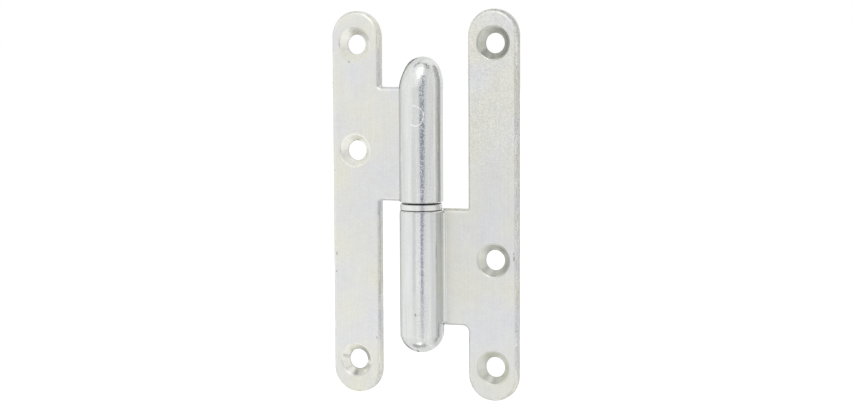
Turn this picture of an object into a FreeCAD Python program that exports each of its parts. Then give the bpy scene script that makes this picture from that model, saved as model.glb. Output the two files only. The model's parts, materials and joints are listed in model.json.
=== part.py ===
import FreeCAD, Part
import math
import os

# Driving dimensions in millimetres, angles in degrees
# Leaves, both cut from the same round-ended blank
leaf_height = 110.0         # end to end along the pin
leaf_reach = 28.1           # from the pin's axis to a leaf's outer edge
strip_width = 14.7          # the full-height strip that takes the screws
sheet = 2.5                 # thickness of the steel sheet
face_setback = 1.25         # front face behind the pin's axis, so closed leaves keep a gap
edge_round = 1.15           # rounding of the punched front edges

# Tab that joins the strip to its eye, measured from the hinge's mid height
near_corner = 0.35          # inner corner of tab and strip at mid height
door_tab_far = 33.35        # edge beside the dome, door leaf
door_far_corner = 0.6       # inner corner at that edge
frame_tab_far = 34.0        # edge beside the dome, frame leaf
frame_far_corner = 1.75     # inner corner at that edge

# Eyes rolled from the tabs
eye_length = 41.9           # from the hinge's mid height to a dome's tip
crease_round = 1.0          # hollow where the front face turns into the eye
seam_gap = 0.3              # slit between the roll's end and the leaf's back
seam_run_on = 1.3           # length of the slit past the pin's axis, over the dome
rim_bevel = 0.35            # bevel round the eye's open rim
rim_relief = 0.15           # room round the eye where its rim is faced off
dome_join = 25.0            # slope at which a dome's flank passes into its nose
door_dome_height = 9.95
door_dome_ease = 0.05       # dome's base radius beyond the eye's
door_dome_lean = 6.0        # the door leaf's dome leans away from its leaf
frame_dome_ease = 0.21      # the frame leaf's dome is a half ball
nick_reach = 3.3            # nick that the press leaves in front of the frame leaf's dome tip
nick_depth = 1.2            # above that tip

# Pin and bearing ring
pin_diameter = 7.4
pin_foot_gap = 1.5          # between the pin's foot and the closed end of the frame leaf's bore
pin_tip_gap = 6.5           # between the pin's tip and the closed end of the door leaf's bore
pin_lead = 2.4              # length of the tapered lead at the tip
pin_taper = 1.4             # radius lost over the lead
pin_foot_bevel = 0.5
pin_clearance = 0.05        # radial, pin in the door leaf's eye
ring_thickness = 1.85
ring_inset = 0.2            # ring's edge inside the frame leaf's eye
ring_clearance = 0.1        # radial, ring on the pin
ring_bevel = 0.25
ring_seat = 0.5             # frame leaf's rim faced off below its tab
ring_play = 0.05            # between the ring and the rim under it
ring_gap = 0.38             # between the ring and the door leaf's rim

# Countersunk screw holes
hole_diameter = 5.7
sink_diameter = 9.4
sink_angle = 90.0
sink_bevel = 0.25           # shallow bevel round the countersink's rim
hole_end = 9.5              # outer holes from the strip's ends
hole_mid = 15.15            # middle hole from mid height, on the eye's side
hole_edge = 7.1             # row of holes from the leaf's outer edge

# Sizes that follow
half_height = leaf_height / 2
strip_inner = leaf_reach - strip_width
end_radius = strip_width / 2
end_centre = half_height - end_radius
back_face = face_setback + sheet
pin_radius = pin_diameter / 2
door_bore = pin_radius + pin_clearance
frame_bore = pin_radius
frame_dome_height = frame_bore + sheet + frame_dome_ease
pin_foot = eye_length - sheet - frame_bore - pin_foot_gap
pin_tip = eye_length - sheet - door_bore - pin_tip_gap
tab_near = (ring_play + ring_thickness + ring_gap - ring_seat) / 2
frame_rim = tab_near + ring_seat
hole_row = leaf_reach - hole_edge
hole_outer = half_height - hole_end
overrun = 1.0               # how far a cutting tool runs past the metal

Vector = FreeCAD.Vector
ORIGIN = Vector(0, 0, 0)
UP = Vector(0, 0, 1)
BACK = Vector(0, 1, 0)
OUT = Vector(1, 0, 0)
DOWN = Vector(0, 0, -1)


def line(start, end):
    """Straight edge between two points."""
    return Part.LineSegment(start, end).toShape()


def arc(start, middle, end):
    """Circular edge through three points."""
    return Part.Arc(start, middle, end).toShape()


def face_of(edges):
    """Flat face inside a closed run of edges."""
    return Part.Face(Part.Wire(edges))


def polygon(points):
    """Flat face with straight sides."""
    return Part.Face(Part.makePolygon(points + points[:1]))


def plate(tab_far, far_corner):
    """Flat leaf: a round-ended strip with its tab, the punched front edges rounded."""
    def point(x, z):
        return Vector(x, face_setback, z)

    bulge = 1 - math.sqrt(0.5)      # an arc's middle from its corner, per radius
    root_top = point(0, -tab_near)
    root_foot = point(0, -tab_far)
    near_start = point(strip_inner - near_corner, -tab_near)
    near_middle = point(strip_inner - bulge * near_corner, bulge * near_corner - tab_near)
    near_end = point(strip_inner, near_corner - tab_near)
    top_inner = point(strip_inner, end_centre)
    top_middle = point(leaf_reach - end_radius, half_height)
    top_outer = point(leaf_reach, end_centre)
    low_outer = point(leaf_reach, -end_centre)
    low_middle = point(leaf_reach - end_radius, -half_height)
    low_inner = point(strip_inner, -end_centre)
    far_start = point(strip_inner, -tab_far - far_corner)
    far_middle = point(strip_inner - bulge * far_corner, -tab_far - bulge * far_corner)
    far_end = point(strip_inner - far_corner, -tab_far)
    outline = face_of([
        line(root_top, near_start),
        arc(near_start, near_middle, near_end),
        line(near_end, top_inner),
        arc(top_inner, top_middle, top_outer),
        line(top_outer, low_outer),
        arc(low_outer, low_middle, low_inner),
        line(low_inner, far_start),
        arc(far_start, far_middle, far_end),
        line(far_end, root_foot),
        line(root_foot, root_top),
    ])
    flat = outline.extrude(BACK * sheet)
    punched = [
        edge for edge in flat.Edges
        if abs(edge.BoundBox.YMax - face_setback) < 1e-6 and edge.BoundBox.XMax > 1e-6
    ]
    return flat.makeFillet(edge_round, punched)


def crease(eye_radius, tab_far):
    """Hollow along the front, where the leaf's face turns up into the eye."""
    centre = Vector(0, face_setback - crease_round, -tab_far + edge_round)
    centre.x = math.sqrt((eye_radius + crease_round) ** 2 - centre.y ** 2)
    to_leaf = Vector(0, 1, 0)
    to_eye = Vector(-centre.x, -centre.y, 0).normalize()
    to_middle = (to_leaf + to_eye).normalize()
    touch_leaf = centre + to_leaf * crease_round
    touch_eye = centre + to_eye * crease_round
    inside_leaf = touch_leaf + BACK * (sheet / 2)
    inside_eye = Vector(touch_eye.x - sheet / 2, inside_leaf.y, centre.z)
    section = face_of([
        arc(touch_leaf, centre + to_middle * crease_round, touch_eye),
        line(touch_eye, inside_eye),
        line(inside_eye, inside_leaf),
        line(inside_leaf, touch_leaf),
    ])
    return section.extrude(UP * (tab_far - tab_near - 2 * edge_round))


def dome_die(radius, height, lean):
    """Round-nosed form that shapes an eye's closed end, pointing down: a flank arc and a nose arc."""
    slope = math.radians(dome_join)
    stretch = (height - radius) / (math.cos(slope) + math.sin(slope) - 1)
    flank = radius + stretch * math.cos(slope)
    nose = height - stretch * math.sin(slope)
    slant = OUT * math.cos(slope) + DOWN * math.sin(slope)
    tip = DOWN * eye_length
    base = tip + UP * height
    shoulder = base + OUT * radius
    flank_centre = shoulder - OUT * flank
    nose_centre = tip + UP * nose
    join = nose_centre + slant * nose
    profile = face_of([
        arc(shoulder, flank_centre + (OUT + slant).normalize() * flank, join),
        arc(join, nose_centre + (DOWN + slant).normalize() * nose, tip),
        line(tip, ORIGIN),
        line(ORIGIN, OUT * radius),
        line(OUT * radius, shoulder),
    ])
    die = profile.revolve(ORIGIN, UP, 360)
    die.rotate(base, BACK, lean)
    return die


def eye(eye_radius, rim, tab_far, dome_height, dome_ease, dome_lean=0.0):
    """Rolled eye without its bore: a straight barrel and a pressed dome with its lip on the leaf."""
    die_radius = eye_radius + dome_ease
    die = dome_die(die_radius, dome_height, dome_lean)
    foot = Vector(0, 0, -eye_length - overrun)
    barrel = Part.makeCylinder(eye_radius, -rim - foot.z, foot)
    pressed = Part.makeCylinder(die_radius + overrun, dome_height + overrun, foot)
    barrel = barrel.cut(pressed.cut(die))
    corner = Vector(0, face_setback, -eye_length)
    lip = Part.makeBox(die_radius, sheet, eye_length - tab_far, corner)
    return barrel.fuse(lip.common(die))


def bore(radius):
    """Blind hole for the pin, flat at its closed end."""
    depth = eye_length - sheet - radius
    return Part.makeCylinder(radius, depth + overrun, DOWN * depth)


def rim_cut(eye_radius, rim):
    """Facing cut over the eye's open rim, with the bevel round its edge."""
    inner = eye_radius - rim_bevel
    outer = eye_radius + rim_relief
    profile = polygon([
        Vector(0, 0, overrun),
        Vector(0, 0, -rim),
        Vector(inner, 0, -rim),
        Vector(outer, 0, -rim - (outer - inner)),
        Vector(outer, 0, overrun),
    ])
    return profile.revolve(ORIGIN, UP, 360)


def seam(eye_radius):
    """Slit between the roll's end and the leaf's back, running over the dome's tip."""
    turn = math.degrees(math.asin(back_face / eye_radius))
    length = seam_run_on + eye_radius + 2 * overrun
    corner = Vector(-seam_run_on, -seam_gap / 2, -eye_length - overrun)
    slit = Part.makeBox(length, seam_gap, eye_length + 2 * overrun, corner)
    slit.rotate(ORIGIN, UP, turn)
    return slit


def nick():
    """Short slit in front of the dome's tip."""
    corner = Vector(-seam_gap / 2, -nick_reach, -eye_length - overrun)
    return Part.makeBox(seam_gap, nick_reach, nick_depth + overrun, corner)


def screw_seat(height):
    """Cutting tool for one countersunk hole, entering at the front face."""
    half = math.radians(sink_angle / 2)
    hole_radius = hole_diameter / 2
    sink_radius = sink_diameter / 2
    rim_radius = sink_radius + sink_bevel
    depth = (sink_radius - hole_radius) / math.tan(half)

    def point(radius, y):
        return Vector(hole_row + radius, y, height)

    before = face_setback - overrun
    behind = back_face + overrun
    profile = polygon([
        point(0, before),
        point(rim_radius, before),
        point(rim_radius, face_setback),
        point(sink_radius - sink_bevel * math.sin(half), face_setback + sink_bevel * math.cos(half)),
        point(hole_radius, face_setback + depth),
        point(hole_radius, behind),
        point(0, behind),
    ])
    return profile.revolve(point(0, before), BACK, 360)


def leaf(bore_radius, rim, tab_far, far_corner, dome):
    """One leaf to the right of the pin, its eye below mid height and its front towards -Y."""
    eye_radius = bore_radius + sheet
    rolled = eye(eye_radius, rim, tab_far, *dome)
    metal = plate(tab_far, far_corner).fuse([crease(eye_radius, tab_far), rolled])
    cuts = [bore(bore_radius), rim_cut(eye_radius, rim), seam(eye_radius)]
    cuts += [screw_seat(height) for height in (hole_outer, -hole_mid, -hole_outer)]
    return metal.cut(cuts).removeSplitter()


def make_pin():
    """Plain pin with a tapered lead at the tip that enters the door leaf's eye."""
    profile = polygon([
        Vector(0, 0, -pin_foot),
        Vector(pin_radius - pin_foot_bevel, 0, -pin_foot),
        Vector(pin_radius, 0, pin_foot_bevel - pin_foot),
        Vector(pin_radius, 0, pin_tip - pin_lead),
        Vector(pin_radius - pin_taper, 0, pin_tip),
        Vector(0, 0, pin_tip),
    ])
    return profile.revolve(ORIGIN, UP, 360)


def make_ring():
    """Loose bearing ring that lies on the frame leaf's rim, its outer edges bevelled."""
    inner = pin_radius + ring_clearance
    outer = frame_bore + sheet - ring_inset
    foot = ring_play - frame_rim
    top = foot + ring_thickness
    profile = polygon([
        Vector(inner, 0, foot),
        Vector(outer - ring_bevel, 0, foot),
        Vector(outer, 0, foot + ring_bevel),
        Vector(outer, 0, top - ring_bevel),
        Vector(outer - ring_bevel, 0, top),
        Vector(inner, 0, top),
    ])
    return profile.revolve(ORIGIN, UP, 360)


frame_dome = (frame_dome_height, frame_dome_ease)
frame_leaf = leaf(frame_bore, frame_rim, frame_tab_far, frame_far_corner, frame_dome).cut(nick())
door_dome = (door_dome_height, door_dome_ease, door_dome_lean)
door_leaf = leaf(door_bore, tab_near, door_tab_far, door_far_corner, door_dome)
door_leaf.rotate(ORIGIN, BACK, 180)

os.makedirs("parts", exist_ok=True)
frame_leaf.exportStep("parts/frame_leaf.step")
door_leaf.exportStep("parts/door_leaf.step")
make_pin().exportStep("parts/pin.step")
make_ring().exportStep("parts/ring.step")
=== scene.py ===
"""Finish and stage for a zinc-plated lift-off hinge, laid out as an add-on and run as a script."""
import json
import math
from types import SimpleNamespace
from typing import NamedTuple

import bmesh
import bpy
from mathutils import Matrix, Vector


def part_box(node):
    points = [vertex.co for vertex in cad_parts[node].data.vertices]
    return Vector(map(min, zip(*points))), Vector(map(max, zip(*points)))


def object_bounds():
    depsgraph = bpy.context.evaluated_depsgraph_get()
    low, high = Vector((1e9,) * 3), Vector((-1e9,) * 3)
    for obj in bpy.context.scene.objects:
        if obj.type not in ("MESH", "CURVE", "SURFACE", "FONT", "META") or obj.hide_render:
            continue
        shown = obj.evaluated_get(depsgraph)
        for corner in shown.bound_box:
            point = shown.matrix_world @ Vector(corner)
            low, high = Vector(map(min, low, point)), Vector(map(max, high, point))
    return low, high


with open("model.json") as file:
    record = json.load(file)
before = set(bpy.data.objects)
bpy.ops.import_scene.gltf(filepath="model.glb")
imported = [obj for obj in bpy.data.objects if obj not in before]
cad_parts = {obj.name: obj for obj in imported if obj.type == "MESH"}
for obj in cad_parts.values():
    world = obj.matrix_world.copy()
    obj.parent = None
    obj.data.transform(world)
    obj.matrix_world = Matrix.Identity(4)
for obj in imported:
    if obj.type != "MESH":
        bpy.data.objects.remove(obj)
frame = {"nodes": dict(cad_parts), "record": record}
CAD_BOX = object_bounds()

bl_info = {
    "name": "Lift-off hinge finish",
    "version": (1, 0, 0),
    "blender": (4, 5, 0),
    "location": "3D View > Sidebar > Hinge",
    "description": "Gives the hinge's leaves, ring and pin their finish and sets the studio round them",
    "category": "Object",
}

IMAGE_WIDTH = 854
IMAGE_HEIGHT = 410
SENSOR_WIDTH = 36.0
NEAREST_SEEN = 0.01
MM = 1000.0
DEGREES = 180.0 / math.pi
FULL_TURN = 2.0 * math.pi
WHITE = (1.0, 1.0, 1.0, 1.0)

# Zones of a leaf in millimetres: where each starts and where it is full, and how soft a band's edges are.
EYE_FADE = (0.3, -0.1)
DOME_FADE = (-1.5, 1.5)
FRONT_FADE = (0.0, -0.05)
SINK_FADE = (0.1, -0.1)
WALL_FADE = (0.10, 0.03)
LIP_FADE = (-0.45, -0.2)
SINK_SIDE = (1.0, 6.0, 0.6)
TOP_HOLE = (20.0, 40.0)
LOW_HOLE = (-20.0, -40.0)
UPPER_HOLES = (0.0, 10.0)
TOP_MATT_SHARE = 0.7
SIDE_SHADE_ACROSS = (-2.5, -0.5)
SINK_SHADE_UP = (0.0, 40.0)
SINK_SHADE_UP_SHARE = 0.45
SINK_SHADE_ACROSS = (0.5, 4.0)
SINK_SHADE_SIDE_UP = (-50.0, -10.0)
SINK_SHADE_SIDE_SHARE = 1.15
EDGE_DEPTH = (0.02, 0.25)
TORN_DEPTH = (1.1, 1.5)
CROWN_UP = (44.0, 50.0)
SHOULDER_UP = (25.0, 36.0, 3.0)
CORNER_ACROSS = (4.2, 4.8)
CORNER_DEPTH = (1.0, 0.0)
TRACK_ACROSS = (0.8, 3.7, 0.4)
TRACK_DEPTH = (0.0, -1.0)
GAP_SHADE_FROM_PIN = (6.3, 5.8)
GAP_SHADE_FROM_RIM = (0.06, 0.02)
NICK_ACROSS = (0.17, 0.155)
NICK_DEPTH = 0.1
SCRATCH_DEPTH = (0.3, -0.3)
SPECK_DEPTH = (1.0, 0.3)

# Marks on the leaves: a path of points across and up, and how far from it the mark reaches, in millimetres.
FRAME_SCRATCHES = (
    (((27.6, 15.7), (27.7, 16.4)), 0.16),
    (((27.7, 16.4), (28.0, 15.5)), 0.12),
)
FRAME_SPECKS = (
    (((27.05, -12.8), (27.1, -13.3)), 0.20),
    (((27.1, -13.9), (27.15, -14.9)), 0.28),
    (((0.45, -30.2), (0.55, -30.6)), 0.30),
)
EYE_SCRATCH = (
    (-0.1, 28.3), (1.25, 27.9), (2.3, 27.3), (2.9, 26.1),
    (2.8, 24.4), (2.05, 23.0), (0.65, 22.5), (-0.5, 22.9),
)
DOOR_SCRATCHES = ((EYE_SCRATCH, 0.17),)
DOOR_SPECKS = (
    (((-26.9, -14.4), (-26.85, -15.1)), 0.24),
    (((-27.0, -19.7), (-27.0, -20.1)), 0.20),
    (((-22.9, 40.6), (-22.4, 40.4)), 0.22),
    (((-14.5, -38.5), (-14.4, -38.9)), 0.20),
)

# The studio that the metal mirrors, in degrees: round from the front, where plus is the frame leaf's side, and
# up from the floor. Dark values are shares of the white that are taken away.
# A pair with near and far in its name goes from the first value close by on the floor to the second far off.
FLAG_LEFT_NEAR_FAR = (18.0, 14.0)
FLAG_RIGHT_NEAR_FAR = (31.0, 40.0)
FLAG_SOFT = 2.0
FLAG_TOP = (34.0, 22.0)
FLAG_DARK_NEAR_FAR = (0.78, 0.66)
LEFT_WALL_LEFT_NEAR_FAR = (-27.0, -30.0)
LEFT_WALL_RIGHT_NEAR_FAR = (-9.5, 14.0)
LEFT_WALL_SOFT = 2.0
LEFT_WALL_TOP = (6.0, -2.0)
LEFT_WALL_DARK_NEAR_FAR = (0.28, 0.12)
LEFT_END = (-50.0, -110.0)
LEFT_END_DARK_NEAR_FAR = (0.04, 0.14)
RIGHT_WALL = (38.0, 92.0, 3.0)
RIGHT_WALL_DARK_NEAR_FAR = (0.07, 0.17)
RIGHT_BEHIND = (116.0, 142.0, 3.0)
RIGHT_BEHIND_DARK = 0.58
LEFT_BEHIND = (-146.0, -119.0, 3.0)
LEFT_BEHIND_DARK_NEAR_FAR = (0.3, 0.65)
BEHIND_TOP = (44.0, 36.0)
BACK_WALL = (142.0, 152.0)
BACK_WALL_TOP = (30.0, 10.0)
BACK_WALL_DARK = 0.1
LAMP_SURROUND = (34.0, 47.0, 4.0)
LAMP_SURROUND_UP = (42.0, 82.0, 4.0)
LAMP_SURROUND_DARK = 0.62

# The floor close to the hinge as the metal's gloss sees it, in metres: painted shadows and a painted bright
# spot.
FAR_FLOOR = (0.5, 1.0)
OPEN_FLOOR = (0.12, 0.18)
FOOT = (0.08, 0.04)
FOOT_DARK = 0.08
UNDER_ACROSS = (-0.010, 0.008, 0.002)
UNDER_AHEAD = (-0.010, -0.003, 0.0015)
UNDER_DARK = 0.45
BESIDE_ACROSS = (-0.08, -0.012, 0.004)
BESIDE_AHEAD = (0.006, 0.03, 0.003)
BESIDE_DARK = 0.5
SPOT_ACROSS, SPOT_AHEAD = 0.0018, -0.0133
SPOT_REACH = (0.0055, 0.0025)
SPOT_LIGHT = 0.7


class Shade:
    """A shader socket that stands in Python sums: each sum adds a Math node."""

    def __init__(self, tree, socket=None):
        self.tree = tree
        self.socket = socket

    def node(self, kind, settings, sockets, out=0):
        """Adds a node of a kind, its settings first and then the values or links of its sockets."""
        made = self.tree.nodes.new(kind)
        for name, value in settings.items():
            if name == "stops":
                while len(made.color_ramp.elements) < len(value):
                    made.color_ramp.elements.new(1.0)
                for element, (place, colour) in zip(made.color_ramp.elements, value):
                    element.position = place
                    element.color = (*colour, 1.0)
            else:
                setattr(made, name, value)
        for key, value in sockets.items():
            if isinstance(value, Shade):
                self.tree.links.new(value.socket, made.inputs[key])
            else:
                made.inputs[key].default_value = value
        return Shade(self.tree, made.outputs[out])

    def other(self, out):
        """Another output of this socket's node."""
        return Shade(self.tree, self.socket.node.outputs[out])

    def maths(self, operation, first, second=0.0):
        return self.node("ShaderNodeMath", {"operation": operation}, {0: first, 1: second})

    def __add__(self, other):
        return self.maths("ADD", self, other)

    __radd__ = __add__

    def __sub__(self, other):
        return self.maths("SUBTRACT", self, other)

    def __rsub__(self, other):
        return self.maths("SUBTRACT", other, self)

    def __mul__(self, other):
        return self.maths("MULTIPLY", self, other)

    __rmul__ = __mul__

    def __pow__(self, other):
        return self.maths("POWER", self, other)

    def __rpow__(self, other):
        return self.maths("POWER", other, self)

    def __abs__(self):
        return self.maths("ABSOLUTE", self)

    def sine(self):
        return self.maths("SINE", self)

    def least(self, other):
        return self.maths("MINIMUM", self, other)

    def most(self, other):
        return self.maths("MAXIMUM", self, other)

    def rise(self, low, high):
        """0 below low and 1 above high with a soft step between; low above high turns it round."""
        return self.node(
            "ShaderNodeMapRange",
            {"interpolation_type": "SMOOTHSTEP"},
            {"Value": self, "From Min": low, "From Max": high},
        )

    def band(self, low, high, soft):
        """1 between low and high, with soft edges."""
        return self.rise(low - soft, low + soft) * self.rise(high + soft, high - soft)


def sides(shade, place):
    """A place's way across, its depth and its height."""
    across = shade.node("ShaderNodeSeparateXYZ", {}, {0: place}, 0)
    return across, across.other(1), across.other(2)


def length(a, b):
    """The length of two sides at a right angle."""
    return (a * a + b * b) ** 0.5


def noise(shade, place, size, detail=2.0, seed=0.0):
    """Soft noise from 0 to 1 whose blotches are about size millimetres across."""
    return shade.node(
        "ShaderNodeTexNoise",
        {"noise_dimensions": "4D"},
        {"Vector": place, "W": seed, "Scale": 1.0 / size, "Detail": detail},
    )


def stretched(shade, place, stretch):
    """The place with its pattern drawn out along each axis by stretch."""
    return shade.node(
        "ShaderNodeVectorMath", {"operation": "DIVIDE"}, {0: place, 1: stretch}
    )


def mixed(shade, factor, first, second):
    """A colour between two others."""
    return shade.node(
        "ShaderNodeMix", {"data_type": "RGBA"}, {0: factor, 6: first, 7: second}, 2
    )


def dimmed(shade, colour, factor):
    """A colour made darker or lighter by a factor."""
    return shade.node(
        "ShaderNodeVectorMath", {"operation": "SCALE"}, {0: colour, "Scale": factor}
    )


def scored(across, up, points, width):
    """A scratch through points in millimetres, 1 along its middle and 0 beside it."""
    mark = 0.0
    for start, end in zip(points, points[1:]):
        run = (end[0] - start[0], end[1] - start[1])
        whole = run[0] ** 2 + run[1] ** 2
        aside, above = across - start[0], up - start[1]
        along = (aside * (run[0] / whole) + above * (run[1] / whole)).most(0.0).least(1.0)
        beside = length(aside - along * run[0], above - along * run[1])
        mark = beside.rise(width, width * 0.3).most(mark)
    return mark


def metal(name):
    """A new metal: its shading, its surface, and the place on the piece in millimetres."""
    material = bpy.data.materials.new(name)
    material.use_nodes = True
    tree = material.node_tree
    surface = next(n for n in tree.nodes if n.type == "BSDF_PRINCIPLED")
    surface.inputs["Metallic"].default_value = 1.0
    shade = Shade(tree)
    place = shade.node("ShaderNodeTexCoord", {}, {}, "Object")
    place = shade.node(
        "ShaderNodeVectorMath", {"operation": "SCALE"}, {0: place, "Scale": MM}
    )
    return material, surface, shade, place


def coat(shade, surface, colour, roughness, height):
    """Links colour, roughness and height in millimetres to the surface."""
    bump = shade.node("ShaderNodeBump", {}, {"Distance": 1.0 / MM, "Height": height}, "Normal")
    for name, value in (("Base Color", colour), ("Roughness", roughness), ("Normal", bump)):
        shade.tree.links.new(value.socket, surface.inputs[name])


def dress(node, material):
    """Puts a material in a CAD node's slots."""
    slots = frame["nodes"][node].data.materials
    slots.clear()
    slots.append(material)


def screw_row(leaf):
    """How far across a leaf its screw holes are and how high each is, in millimetres."""
    across, heights = 0.0, set()
    for mount in frame["record"]["mounts"]:
        if mount["kind"] == "bolt_pattern" and mount["name"].startswith(leaf):
            across = mount["pos_m"][0] * MM
            middle, half = mount["pos_m"][2] * MM, mount["dims"]["spacing_y_mm"] / 2
            heights |= {round(middle - half, 3), round(middle + half, 3)}
    return across, sorted(heights)


def leaf_back(leaf):
    """How deep a leaf's back face lies, in metres."""
    return next(m["pos_m"][1] for m in frame["record"]["mounts"] if m["name"] == leaf + "_back")


class LeafLook(NamedTuple):
    """What a leaf's plate has of its own, with heights in millimetres."""

    leaf: str
    tint: tuple
    sink_colour: tuple
    sink_roughness: float
    rim: float  # height of the rim, where painted shade darkens the gap beside the ring
    nick: float  # height where the nick in the dome begins, None for a dome without one
    seed: float  # where the leaf's noises begin
    coarse: tuple  # the grain turns coarse between these heights
    sink_shade_and_rough_crown: float  # painted shade that darkens the countersinks' colour, and roughness on the top edge
    stained: float  # painted shade on single sides of the countersinks, and more roughness on others
    worn: float  # roughness that the rounded edges add
    crinkled: float  # how far the dome is crinkled, from 0 to 1
    crease_shade: float  # painted shade that darkens the eye on its side toward the tab, by the crease
    scratches: tuple
    specks: tuple


def leaf_zones(shade, place, own):
    """Where each finish lies on a leaf: 1 inside a zone and 0 outside it."""
    look = bpy.context.scene.hinge_zinc
    row, heights = screw_row(own.leaf)
    back = leaf_back(own.leaf) * MM
    across, depth, up = sides(shade, place)
    zone = SimpleNamespace(across=across, up=up)
    zone.from_pin = length(across, depth)
    zone.behind_face = depth - (back - look.sheet * MM)
    front = (depth - back).rise(*FRONT_FADE)

    eye = (zone.from_pin - look.eye_reach * MM).rise(*EYE_FADE)
    zone.eye = eye
    zone.dome = (abs(up) - look.dome_start * MM).rise(*DOME_FADE) * eye * own.crinkled
    zone.shoulder = abs(up).band(*SHOULDER_UP) * eye
    zone.track = across.band(*TRACK_ACROSS) * depth.rise(*TRACK_DEPTH) * eye
    toward_tab = across * math.copysign(1.0, row)
    # Painted shade: the eye's side toward its tab, by the crease, is darkened in colour
    zone.corner = toward_tab.rise(*CORNER_ACROSS) * depth.rise(*CORNER_DEPTH) * eye

    from_row = across - row
    nearest = abs(up - heights[0])
    for height in heights[1:]:
        nearest = nearest.least(abs(up - height))
    zone.from_hole = length(from_row, nearest)
    sink = (zone.from_hole - look.sink_reach * MM).rise(*SINK_FADE) * front
    zone.sink = sink
    zone.lip = (zone.from_hole - look.sink_reach * MM).rise(*LIP_FADE) * sink
    # The colour darkens the screw hole's wall: painted shade in the hole
    zone.wall = (zone.from_hole - look.hole_reach * MM).rise(*WALL_FADE)

    # Painted shade on single sides of the door leaf's countersinks: above the top hole and below the lowest;
    # the upper holes' lower sides get roughness
    above, below = 0.0, 0.0
    for height in heights:
        above = (up - height).band(*SINK_SIDE).most(above)
        below = (height - up).band(*SINK_SIDE).most(below)
    stain = above * up.rise(*TOP_HOLE) + below * up.rise(*LOW_HOLE)
    zone.stain = stain * from_row.rise(*SIDE_SHADE_ACROSS) * sink * own.stained
    matt = up.rise(*UPPER_HOLES) + up.rise(*TOP_HOLE) * TOP_MATT_SHARE
    zone.matt = below * matt * sink * own.stained
    # Painted shade on the frame leaf's countersinks: on the upper holes, and on the sides away from the eye
    dull = up.rise(*SINK_SHADE_UP) * SINK_SHADE_UP_SHARE
    dull = dull + from_row.rise(*SINK_SHADE_ACROSS) * up.rise(*SINK_SHADE_SIDE_UP) * SINK_SHADE_SIDE_SHARE
    zone.dull = dull * sink * own.sink_shade_and_rough_crown

    zone.edge = zone.behind_face.rise(*EDGE_DEPTH) * front * (1.0 - eye) * (1.0 - sink)
    zone.torn = zone.behind_face.rise(*TORN_DEPTH) * zone.edge
    zone.crown = up.rise(*CROWN_UP) * zone.edge * own.sink_shade_and_rough_crown
    zone.coarse = up.rise(*own.coarse) * (1.0 - eye)
    return zone


def leaf_patterns(shade, place, own, zone):
    """The noises of a leaf's plate, from 0 to 1."""
    look = bpy.context.scene.hinge_zinc
    drawn_out = stretched(shade, place, (0.6, 0.6, 14.0))
    torn_out = stretched(shade, place, (6.0, 0.35, 6.0))
    pattern = SimpleNamespace()
    pattern.clouds = noise(shade, place, size=look.cloud_size * MM, detail=3.0, seed=own.seed)
    pattern.mottle = noise(shade, place, size=2.2, detail=3.0, seed=own.seed + 3.0)
    pattern.grain = noise(shade, place, size=look.grain_size * MM, detail=2.0, seed=own.seed + 5.0)
    pattern.drawn = noise(shade, drawn_out, size=1.0, detail=2.0, seed=own.seed + 7.0)
    pattern.wobble = noise(shade, place, size=look.wobble_size * MM, detail=1.5, seed=own.seed + 9.0)
    pattern.crinkle = noise(shade, place, size=1.3, detail=2.0, seed=own.seed + 11.0)
    pattern.burr = noise(shade, torn_out, size=1.0, detail=3.0, seed=own.seed + 13.0)
    blotch = noise(shade, place, size=look.blotch_size * MM, detail=2.0, seed=own.seed + 15.0)
    pattern.blotch = blotch.rise(0.49, 0.62) * zone.track.most(zone.dome * 0.7)
    pattern.jag = noise(shade, place, size=0.5, detail=3.0, seed=own.seed + 17.0)
    pattern.drag = (pattern.burr + pattern.jag * 0.15).band(0.57, 0.62, 0.02)
    return pattern


def leaf_marks(shade, place, own, zone):
    """Painted shade in the gap at the rim and in the nick, scratches and dark specks on a leaf, 1 in the
    middle of each.
    """
    mark = SimpleNamespace()
    # Painted shade in the gap between the eye's rim and the ring, and inside the nick
    mark.oil = zone.from_pin.rise(*GAP_SHADE_FROM_PIN) * abs(zone.up - own.rim).rise(*GAP_SHADE_FROM_RIM)
    if own.nick:
        nick = abs(zone.across).rise(*NICK_ACROSS) * zone.up.rise(own.nick, own.nick - NICK_DEPTH)
        mark.oil = mark.oil.most(nick * zone.eye)

    scratch = 0.0
    for points, width in own.scratches:
        scratch = scored(zone.across, zone.up, points, width).most(scratch)
    mark.scratch = scratch * zone.behind_face.rise(*SCRATCH_DEPTH)

    cells = shade.node(
        "ShaderNodeTexVoronoi", {}, {"Vector": place, "Scale": 0.3, "Randomness": 1.0}, "Distance"
    )
    chance = shade.node("ShaderNodeSeparateColor", {}, {0: cells.other("Color")}, 0)
    speck = cells.rise(0.06, 0.025) * chance.rise(0.78, 0.82) * 0.6
    for points, width in own.specks:
        speck = scored(zone.across, zone.up, points, width).most(speck)
    mark.speck = speck * zone.behind_face.rise(*SPECK_DEPTH)
    return mark


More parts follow.
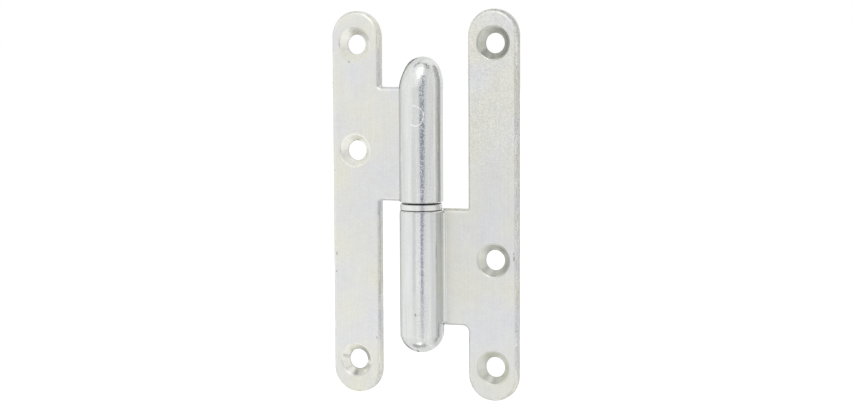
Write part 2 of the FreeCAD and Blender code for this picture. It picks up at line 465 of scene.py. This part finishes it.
def leaf_colour(shade, own, zone, pattern, mark):
    """The plate's clouds, the eye's and the countersinks' own colours, and what darkens or lightens them."""
    look = bpy.context.scene.hinge_zinc
    colour = shade.node(
        "ShaderNodeValToRGB",
        {"stops": ((0.36, look.cool_colour), (0.5, look.plate_colour), (0.64, look.warm_colour))},
        {0: pattern.clouds + zone.coarse * 0.15},
    )
    colour = shade.node("ShaderNodeVectorMath", {"operation": "MULTIPLY"}, {0: colour, 1: own.tint})
    colour = mixed(shade, zone.eye * 0.85, colour, (*look.eye_colour, 1.0))
    colour = mixed(shade, zone.sink * 0.9, colour, (*own.sink_colour, 1.0))
    plain = 0.96 + pattern.mottle * 0.08 + (pattern.grain - 0.5) * (0.22 + zone.coarse * 0.42)
    plain = plain + (pattern.drawn - 0.5) * (0.10 + zone.eye * 0.22)
    # The torn edges' burrs and drag lines, with a painted sheen that lightens the rounded edges by 0.08
    torn_edge_and_sheen = 0.08 + (pattern.burr - 0.5) * 0.6 + (pattern.jag - 0.5) * 0.5 - pattern.drag * 0.25
    light = torn_edge_and_sheen * zone.edge + mark.scratch * 0.42
    # Painted shade: the holes' walls, the eye by its crease and single sides of the countersinks
    dark = zone.wall * 0.22 + zone.corner * own.crease_shade + zone.dull + zone.stain
    dark = dark + mark.speck * 0.5 + mark.oil * 0.85
    return dimmed(shade, colour, plain + light - dark)


def leaf_roughness(own, zone, pattern, mark):
    """Satin sheet, a glossier eye with matt blotches, and rougher edges."""
    look = bpy.context.scene.hinge_zinc
    plate = look.plate_roughness
    rough = plate - zone.eye * (plate - look.eye_roughness) - zone.sink * (plate - own.sink_roughness)
    uneven = (pattern.mottle - 0.5) * 0.10 + (pattern.drawn - 0.5) * 0.08
    rough = rough + uneven * (1.0 - zone.sink) + zone.lip * 0.25 + zone.matt
    rough = rough + pattern.blotch * 0.34 + zone.shoulder * 0.07 + mark.scratch * 0.25
    return rough + zone.edge * own.worn + zone.torn * 0.1 + zone.crown


def leaf_height(zone, pattern, mark):
    """Grain, drawing lines, the eye's unevenness, burrs and turned lines, in millimetres."""
    look = bpy.context.scene.hinge_zinc
    turned = (zone.from_hole * (FULL_TURN / look.turning / MM) + pattern.mottle * 2.0).sine()
    height = pattern.grain * (look.grain_depth * MM) * (1.0 + zone.coarse * 1.5 - zone.eye * 0.6)
    height = height + pattern.drawn * (0.002 + zone.eye * 0.005) * (1.0 - zone.sink)
    height = height + pattern.wobble * (look.wobble_depth * MM) * (1.0 + zone.dome) * zone.eye
    height = height + pattern.crinkle * zone.dome * 0.05
    height = height + (pattern.burr * 0.035 + pattern.jag * 0.035) * zone.edge
    return height + turned * 0.0015 * zone.sink - mark.speck * 0.02 + mark.scratch * 0.01


def zinc_leaf(own):
    """Bright zinc plate on a leaf: satin sheet, torn edges, a glossier eye and turned countersinks."""
    material, surface, shade, place = metal(own.leaf + "_leaf_zinc")
    zone = leaf_zones(shade, place, own)
    pattern = leaf_patterns(shade, place, own, zone)
    mark = leaf_marks(shade, place, own, zone)
    coat(
        shade,
        surface,
        leaf_colour(shade, own, zone, pattern, mark),
        leaf_roughness(own, zone, pattern, mark),
        leaf_height(zone, pattern, mark),
    )
    return material


class HingeZinc(bpy.types.PropertyGroup):
    """Sizes and colours of the zinc plate."""

    plate_colour: bpy.props.FloatVectorProperty(
        name="Plate", description="Plain colour of the zinc plate", subtype="COLOR", size=3,
        default=(0.82, 0.82, 0.785), min=0.0, max=1.0,
    )
    warm_colour: bpy.props.FloatVectorProperty(
        name="Warm clouds", description="Yellowish clouds in the plate", subtype="COLOR", size=3,
        default=(0.84, 0.83, 0.745), min=0.0, max=1.0,
    )
    cool_colour: bpy.props.FloatVectorProperty(
        name="Cool clouds", description="Bluish clouds in the plate", subtype="COLOR", size=3,
        default=(0.795, 0.805, 0.81), min=0.0, max=1.0,
    )
    eye_colour: bpy.props.FloatVectorProperty(
        name="Eyes", description="Colour of the rolled eyes", subtype="COLOR", size=3,
        default=(0.775, 0.79, 0.785), min=0.0, max=1.0,
    )
    # Both leaves' countersinks are the same cut metal: the frame leaf's darker colour and the door leaf's
    # lighter one are painted shade and painted light
    frame_sink_colour: bpy.props.FloatVectorProperty(
        name="Frame countersinks", description="Cut metal in the frame leaf's countersinks",
        subtype="COLOR", size=3, default=(0.73, 0.74, 0.67), min=0.0, max=1.0,
    )
    door_sink_colour: bpy.props.FloatVectorProperty(
        name="Door countersinks", description="Cut metal in the door leaf's countersinks",
        subtype="COLOR", size=3, default=(0.945, 0.94, 0.875), min=0.0, max=1.0,
    )
    frame_tint: bpy.props.FloatVectorProperty(
        name="Frame tint", description="Cooler tint of the frame leaf's plate", subtype="COLOR", size=3,
        default=(0.955, 0.96, 0.98), min=0.0, max=1.0,
    )
    plate_roughness: bpy.props.FloatProperty(
        name="Plate roughness", description="How satin the flat sheet is", default=0.33, min=0.0, max=1.0,
    )
    eye_roughness: bpy.props.FloatProperty(
        name="Eye roughness", description="How satin the rolled eyes are", default=0.16, min=0.0, max=1.0,
    )
    frame_sink_roughness: bpy.props.FloatProperty(
        name="Frame countersink roughness", description="How satin the frame leaf's countersinks are",
        default=0.30, min=0.0, max=1.0,
    )
    door_sink_roughness: bpy.props.FloatProperty(
        name="Door countersink roughness", description="How satin the door leaf's countersinks are",
        default=0.22, min=0.0, max=1.0,
    )
    blotch_size: bpy.props.FloatProperty(
        name="Blotch size", description="Size of the eyes' dull blotches", default=0.00034, unit="LENGTH",
    )
    cloud_size: bpy.props.FloatProperty(
        name="Cloud size", description="Size of the tint's clouds", default=0.014, unit="LENGTH",
    )
    grain_size: bpy.props.FloatProperty(
        name="Grain size", description="Size of the plate's grain", default=0.00035, unit="LENGTH",
    )
    grain_depth: bpy.props.FloatProperty(
        name="Grain depth", description="Depth of the plate's grain", default=0.000004, unit="LENGTH",
    )
    wobble_size: bpy.props.FloatProperty(
        name="Wobble size", description="Size of the unevenness of the rolled eyes", default=0.0008,
        unit="LENGTH",
    )
    wobble_depth: bpy.props.FloatProperty(
        name="Wobble depth", description="Depth of the unevenness of the rolled eyes",
        default=0.000015, unit="LENGTH",
    )
    eye_reach: bpy.props.FloatProperty(
        name="Eye reach", description="How far from the pin the glossier eye goes", default=0.0067,
        unit="LENGTH",
    )
    sink_reach: bpy.props.FloatProperty(
        name="Countersink reach", description="Radius of a countersink's rim", default=0.00495,
        unit="LENGTH",
    )
    hole_reach: bpy.props.FloatProperty(
        name="Hole reach", description="Radius of a screw hole", default=0.00285, unit="LENGTH",
    )
    turning: bpy.props.FloatProperty(
        name="Turning", description="From one turned line in a countersink to the next", default=0.00042,
        unit="LENGTH",
    )
    sheet: bpy.props.FloatProperty(
        name="Sheet", description="Thickness of the leaves' sheet", default=0.0025, unit="LENGTH",
    )
    # At each of these rims painted shade darkens the gap beside the ring
    frame_rim: bpy.props.FloatProperty(
        name="Frame rim", description="Height of the frame leaf's oiled rim", default=-0.00139,
        unit="LENGTH",
    )
    door_rim: bpy.props.FloatProperty(
        name="Door rim", description="Height of the door leaf's oiled rim", default=0.00089,
        unit="LENGTH",
    )
    dome_start: bpy.props.FloatProperty(
        name="Dome start", description="Height where an eye's crinkled dome begins", default=0.036,
        unit="LENGTH",
    )


class HingeStage(bpy.types.PropertyGroup):
    """Camera, floor and light."""

    yaw: bpy.props.FloatProperty(
        name="Camera yaw", description="How far the camera stands to the frame leaf's side",
        subtype="ANGLE", default=math.radians(21.44),
    )
    pitch: bpy.props.FloatProperty(
        name="Camera pitch", description="How far the camera stands above the pin's middle",
        subtype="ANGLE", default=math.radians(4.49),
    )
    roll: bpy.props.FloatProperty(
        name="Camera roll", description="The camera's tilt about its own axis",
        subtype="ANGLE", default=math.radians(-0.239),
    )
    distance: bpy.props.FloatProperty(
        name="Camera distance", description="From the pin's middle", default=0.4783, unit="LENGTH",
    )
    focal: bpy.props.FloatProperty(
        name="Focal length", description="In pixels of the image", default=1692.0,
    )
    middle: bpy.props.FloatVectorProperty(
        name="Middle", description="The pin's middle in the image, in pixels", size=2,
        default=(421.375, 205.25),
    )
    floor_side: bpy.props.FloatProperty(
        name="Floor side", description="Side of the square floor", default=16.0, unit="LENGTH",
    )
    floor_colour: bpy.props.FloatVectorProperty(
        name="Floor", description="Colour of the floor", subtype="COLOR", size=3,
        default=(0.8, 0.8, 0.8), min=0.0, max=1.0,
    )
    floor_glow: bpy.props.FloatProperty(
        name="Floor white", description="Share of the floor's white that no shadow takes", default=0.72,
    )
    flag_colour: bpy.props.FloatVectorProperty(
        name="Flag", description="Tint of the dark flag in the eyes' gloss", subtype="COLOR", size=3,
        default=(0.77, 0.87, 1.0), min=0.0, max=1.0,
    )
    near_flag_colour: bpy.props.FloatVectorProperty(
        name="Flag on the floor", description="Tint of the dark flag close by on the floor", subtype="COLOR",
        size=3, default=(0.74, 0.68, 1.0), min=0.0, max=1.0,
    )
    fill: bpy.props.FloatProperty(
        name="Fill", description="Soft light from all round", default=0.5,
    )
    lamp_power: bpy.props.FloatProperty(
        name="Lamp power", description="Power of the overhead soft box", default=0.45, unit="POWER",
    )
    lamp_side: bpy.props.FloatProperty(
        name="Lamp side", description="Side of the overhead soft box", default=0.25, unit="LENGTH",
    )
    lamp_distance: bpy.props.FloatProperty(
        name="Lamp distance", description="From the hinge to the soft box", default=0.7, unit="LENGTH",
    )
    lamp_azimuth: bpy.props.FloatProperty(
        name="Lamp azimuth", description="Round from the front to the frame leaf's side",
        subtype="ANGLE", default=math.radians(7.0),
    )
    lamp_elevation: bpy.props.FloatProperty(
        name="Lamp elevation", description="Above the floor", subtype="ANGLE", default=math.radians(43.0),
    )


class HINGE_OT_leaves(bpy.types.Operator):
    """Finish both leaves in bright zinc plate"""

    bl_idname = "hinge.finish_leaves"
    bl_label = "Finish leaves"

    def execute(self, context):
        look = context.scene.hinge_zinc
        dress("frame_leaf", zinc_leaf(LeafLook(
            leaf="frame", tint=look.frame_tint, sink_colour=look.frame_sink_colour,
            sink_roughness=look.frame_sink_roughness, rim=look.frame_rim * MM, nick=-40.6, seed=2.0,
            coarse=(0.0, 22.0), sink_shade_and_rough_crown=0.30, stained=0.0, worn=0.42, crinkled=0.15, crease_shade=0.13,
            scratches=FRAME_SCRATCHES, specks=FRAME_SPECKS,
        )))
        dress("door_leaf", zinc_leaf(LeafLook(
            leaf="door", tint=WHITE[:3], sink_colour=look.door_sink_colour,
            sink_roughness=look.door_sink_roughness, rim=look.door_rim * MM, nick=None, seed=11.0,
            coarse=(200.0, 201.0), sink_shade_and_rough_crown=0.0, stained=0.28, worn=0.15, crinkled=1.0, crease_shade=0.32,
            scratches=DOOR_SCRATCHES, specks=DOOR_SPECKS,
        )))
        return {"FINISHED"}


class HINGE_OT_ring(bpy.types.Operator):
    """Finish the bearing ring as a turned, zinc-plated washer"""

    bl_idname = "hinge.finish_ring"
    bl_label = "Finish ring"

    def execute(self, context):
        look = context.scene.hinge_zinc
        material, surface, shade, place = metal("ring_zinc")
        across, depth, up = sides(shade, place)
        low, high = (corner.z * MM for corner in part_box("ring"))
        from_pin = length(across, depth)
        from_face = abs(up - (low + high) / 2) - (high - low) / 2
        # Painted shade on the ring's faces where they lie in the gaps under the eyes' rims
        oil = from_face.rise(-0.04, -0.01) * from_pin.rise(5.98, 5.9)
        drawn_round = stretched(shade, place, (3.0, 3.0, 0.12))
        mottle = noise(shade, place, size=1.4, detail=3.0, seed=4.0)
        grain = noise(shade, place, size=0.25, detail=2.0, seed=6.0)
        lines = noise(shade, drawn_round, size=1.0, detail=2.0, seed=8.0)
        rings = (from_pin * (FULL_TURN / look.turning / MM)).sine()
        colour = mixed(
            shade, mottle.rise(0.35, 0.65), (*look.plate_colour, 1.0), (*look.cool_colour, 1.0)
        )
        colour = dimmed(shade, colour, 1.06 + (grain - 0.5) * 0.25 + (lines - 0.5) * 0.15 - oil * 0.9)
        roughness = 0.26 + mottle * 0.10
        height = grain * 0.004 + lines * 0.006 + rings * 0.002
        coat(shade, surface, colour, roughness, height)
        dress("ring", material)
        return {"FINISHED"}


class HINGE_OT_pin(bpy.types.Operator):
    """Finish the pin as bright drawn steel, rubbed where the eye turns on it"""

    bl_idname = "hinge.finish_pin"
    bl_label = "Finish pin"

    def execute(self, context):
        look = context.scene.hinge_zinc
        material, surface, shade, place = metal("pin_steel")
        up = sides(shade, place)[2]
        drawn_out = stretched(shade, place, (0.25, 0.25, 12.0))
        rubbed_round = stretched(shade, place, (4.0, 4.0, 0.3))
        mottle = noise(shade, place, size=2.0, detail=3.0, seed=5.0)
        grain = noise(shade, place, size=0.2, detail=2.0, seed=6.0)
        drawn = noise(shade, drawn_out, size=1.0, detail=2.0, seed=7.0)
        rubbed = noise(shade, rubbed_round, size=1.0, detail=2.0, seed=9.0)
        turning = up.rise(-1.0, 1.0)
        # Painted shade on the pin where it shows in the gap between the rims
        oil = up.band(look.frame_rim * MM, look.door_rim * MM, 0.25)
        colour = mixed(shade, mottle, (0.60, 0.61, 0.62, 1.0), (0.68, 0.675, 0.66, 1.0))
        worn = rubbed.rise(0.58, 0.7) * turning
        colour = dimmed(shade, colour, 0.9 + drawn * 0.14 - worn * 0.2 - oil * 0.8)
        roughness = 0.2 + drawn * 0.1 + rubbed * turning * 0.08
        height = grain * 0.002 + drawn * 0.003 + rubbed * turning * 0.003
        coat(shade, surface, colour, roughness, height)
        dress("pin", material)
        return {"FINISHED"}


def between(reach, near_far):
    """The first of two values where reach is 0, the second where it is 1."""
    near, far = near_far
    return reach * (far - near) + near


def studio_gloss(shade, azimuth, elevation, reach, stage):
    """The studio's tint and brightness in the metal's gloss: reach is 0 close by on the floor, 1 far off."""
    flag_left = between(reach, FLAG_LEFT_NEAR_FAR)
    flag_right = between(reach, FLAG_RIGHT_NEAR_FAR)
    flag = azimuth.band(flag_left, flag_right, FLAG_SOFT) * elevation.rise(*FLAG_TOP)
    wall_left = between(reach, LEFT_WALL_LEFT_NEAR_FAR)
    wall_right = between(reach, LEFT_WALL_RIGHT_NEAR_FAR)
    left_wall = azimuth.band(wall_left, wall_right, LEFT_WALL_SOFT) * elevation.rise(*LEFT_WALL_TOP)
    left_end = azimuth.rise(*LEFT_END)
    right_wall = azimuth.band(*RIGHT_WALL)
    right_behind = azimuth.band(*RIGHT_BEHIND) * elevation.rise(*BEHIND_TOP)
    left_behind = azimuth.band(*LEFT_BEHIND) * elevation.rise(*BEHIND_TOP)
    back_wall = abs(azimuth).rise(*BACK_WALL) * elevation.rise(*BACK_WALL_TOP)

    level = 1.0 - flag * between(reach, FLAG_DARK_NEAR_FAR)
    level = level - left_wall * between(reach, LEFT_WALL_DARK_NEAR_FAR)
    level = level - left_end * between(reach, LEFT_END_DARK_NEAR_FAR)
    level = level - right_wall * between(reach, RIGHT_WALL_DARK_NEAR_FAR)
    level = level - right_behind * RIGHT_BEHIND_DARK
    level = level - left_behind * between(reach, LEFT_BEHIND_DARK_NEAR_FAR)
    level = level - back_wall * BACK_WALL_DARK
    tint = mixed(shade, reach, (*stage.near_flag_colour, 1.0), (*stage.flag_colour, 1.0))
    return mixed(shade, flag, WHITE, tint), level


def studio_world(stage):
    """White all round for the eye, with the greys of a studio in the metal's gloss."""
    world = bpy.data.worlds.new("studio")
    bpy.context.scene.world = world
    world.use_nodes = True
    world.cycles.sampling_method = "NONE"
    tree = world.node_tree
    shade = Shade(tree)
    background = next(n for n in tree.nodes if n.type == "BACKGROUND")
    toward = shade.node("ShaderNodeTexCoord", {}, {}, "Generated")
    right, ahead, up = sides(shade, toward)
    azimuth = shade.maths("ARCTAN2", right, 0.0 - ahead) * DEGREES
    elevation = shade.maths("ARCSINE", up) * DEGREES
    colour, level = studio_gloss(shade, azimuth, elevation, 1.0, stage)
    lamp = heading(stage.lamp_azimuth, stage.lamp_elevation)
    along = right * lamp.x + ahead * lamp.y + up * lamp.z
    from_lamp = shade.maths("ARCCOSINE", along) * DEGREES
    surround = from_lamp.band(*LAMP_SURROUND) * elevation.band(*LAMP_SURROUND_UP)
    level = level - surround * LAMP_SURROUND_DARK
    ray = shade.node("ShaderNodeLightPath", {}, {}, "Is Camera Ray")
    mirror = ray.other("Is Glossy Ray").most(ray.other("Is Transmission Ray"))
    strength = ray + mirror * level + (1.0 - ray.most(mirror)) * stage.fill
    tree.links.new(mixed(shade, mirror, WHITE, colour).socket, background.inputs["Color"])
    tree.links.new(strength.socket, background.inputs["Strength"])


def studio_floor(stage):
    """A square floor under the hinge that stays white and keeps the shadow."""
    mesh = bpy.data.meshes.new("floor")
    sheet = bmesh.new()
    bmesh.ops.create_grid(sheet, x_segments=1, y_segments=1, size=stage.floor_side / 2)
    bmesh.ops.translate(sheet, verts=sheet.verts, vec=(0.0, 0.0, CAD_BOX[0].z))
    sheet.to_mesh(mesh)
    sheet.free()
    floor = bpy.data.objects.new("floor", mesh)
    bpy.context.scene.collection.objects.link(floor)

    material = bpy.data.materials.new("floor_paper")
    material.use_nodes = True
    tree = material.node_tree
    surface = next(n for n in tree.nodes if n.type == "BSDF_PRINCIPLED")
    surface.inputs["Roughness"].default_value = 1.0
    surface.inputs["Specular IOR Level"].default_value = 0.0
    surface.inputs["Emission Strength"].default_value = 1.0
    shade = Shade(tree)
    place = shade.node("ShaderNodeTexCoord", {}, {}, "Object")
    right, ahead, drop = sides(shade, place)
    azimuth = shade.maths("ARCTAN2", right, 0.0 - ahead) * DEGREES
    far = length(right, ahead)
    elevation = shade.maths("ARCTAN2", drop, far) * DEGREES
    colour, level = studio_gloss(shade, azimuth, elevation, far.rise(*FAR_FLOOR), stage)
    open_floor = far.rise(*OPEN_FLOOR)
    level = level * open_floor + (1.0 - open_floor)
    under = right.band(*UNDER_ACROSS) * ahead.band(*UNDER_AHEAD)
    spot = length(right - SPOT_ACROSS, ahead - SPOT_AHEAD).rise(*SPOT_REACH)
    beside = right.band(*BESIDE_ACROSS) * ahead.band(*BESIDE_AHEAD)
    level = level - far.rise(*FOOT) * FOOT_DARK - under * UNDER_DARK - beside * BESIDE_DARK
    level = level + spot * SPOT_LIGHT
    lamp_reach = math.pi * stage.lamp_distance
    lamp_share = stage.lamp_power * math.sin(stage.lamp_elevation) / lamp_reach ** 2
    lit = stage.floor_colour[0] * (stage.fill + lamp_share)
    ray = shade.node("ShaderNodeLightPath", {}, {}, "Is Camera Ray")
    mirror = ray.other("Is Glossy Ray").most(ray.other("Is Transmission Ray"))
    glow = ray * stage.floor_glow + mirror * (level - lit).most(0.0)
    tint = mixed(shade, mirror * open_floor, WHITE, colour)
    paper = shade.node(
        "ShaderNodeVectorMath", {"operation": "MULTIPLY"}, {0: tint, 1: stage.floor_colour}
    )
    tree.links.new(paper.socket, surface.inputs["Base Color"])
    tree.links.new(dimmed(shade, tint, glow).socket, surface.inputs["Emission Color"])
    mesh.materials.append(material)


def heading(azimuth, elevation):
    """The way to a point at an azimuth from the front and an elevation above the floor."""
    return Vector((
        math.sin(azimuth) * math.cos(elevation),
        -math.cos(azimuth) * math.cos(elevation),
        math.sin(elevation),
    ))


def soft_box(name, azimuth, elevation, distance, side, power):
    """A square lamp that faces the hinge, unseen by the camera."""
    lamp = bpy.data.lights.new(name, "AREA")
    lamp.shape = "SQUARE"
    lamp.size = side
    lamp.energy = power
    holder = bpy.data.objects.new(name, lamp)
    toward = heading(azimuth, elevation)
    holder.location = toward * distance
    holder.rotation_euler = (-toward).to_track_quat("-Z", "Y").to_euler()
    holder.visible_camera = False
    bpy.context.scene.collection.objects.link(holder)


def photo_camera(stage):
    """The camera at the photograph's angle."""
    back = heading(stage.yaw, stage.pitch)
    level = Vector((math.cos(stage.yaw), math.sin(stage.yaw), 0.0))
    plumb = back.cross(level)
    right = level * math.cos(stage.roll) + plumb * math.sin(stage.roll)
    up = plumb * math.cos(stage.roll) - level * math.sin(stage.roll)
    scale = stage.distance / stage.focal
    place = (
        right * ((IMAGE_WIDTH / 2 - stage.middle[0]) * scale)
        + up * ((stage.middle[1] - IMAGE_HEIGHT / 2) * scale)
        + back * stage.distance
    )
    lens = bpy.data.cameras.new("photo_camera")
    lens.sensor_width = SENSOR_WIDTH
    lens.lens = stage.focal / IMAGE_WIDTH * SENSOR_WIDTH
    lens.clip_start = NEAREST_SEEN
    camera = bpy.data.objects.new("photo_camera", lens)
    turn = Matrix((right, up, back)).transposed().to_4x4()
    camera.matrix_world = Matrix.Translation(place) @ turn
    bpy.context.scene.collection.objects.link(camera)
    bpy.context.scene.camera = camera


class HINGE_OT_stage(bpy.types.Operator):
    """Set the white studio, its floor, soft box and camera"""

    bl_idname = "hinge.set_stage"
    bl_label = "Set stage"

    def execute(self, context):
        stage = context.scene.hinge_stage
        context.scene.view_settings.view_transform = "Standard"
        studio_world(stage)
        studio_floor(stage)
        soft_box(
            "overhead_soft_box", stage.lamp_azimuth, stage.lamp_elevation, stage.lamp_distance,
            stage.lamp_side, stage.lamp_power,
        )
        photo_camera(stage)
        return {"FINISHED"}


class HINGE_PT_panel(bpy.types.Panel):
    """The hinge's finish and stage"""

    bl_idname = "HINGE_PT_panel"
    bl_label = "Lift-off hinge"
    bl_space_type = "VIEW_3D"
    bl_region_type = "UI"
    bl_category = "Hinge"

    def draw(self, context):
        for group in (context.scene.hinge_zinc, context.scene.hinge_stage):
            box = self.layout.box()
            for name in group.__annotations__:
                box.prop(group, name)
        for operator in OPERATORS:
            self.layout.operator(operator.bl_idname)


OPERATORS = (HINGE_OT_leaves, HINGE_OT_ring, HINGE_OT_pin, HINGE_OT_stage)
CLASSES = (HingeZinc, HingeStage, *OPERATORS, HINGE_PT_panel)


def register():
    for item in CLASSES:
        bpy.utils.register_class(item)
    bpy.types.Scene.hinge_zinc = bpy.props.PointerProperty(type=HingeZinc)
    bpy.types.Scene.hinge_stage = bpy.props.PointerProperty(type=HingeStage)


def unregister():
    del bpy.types.Scene.hinge_stage
    del bpy.types.Scene.hinge_zinc
    for item in reversed(CLASSES):
        bpy.utils.unregister_class(item)


def main():
    register()
    bpy.ops.hinge.finish_leaves()
    bpy.ops.hinge.finish_ring()
    bpy.ops.hinge.finish_pin()
    bpy.ops.hinge.set_stage()


if __name__ == "__main__":
    main()
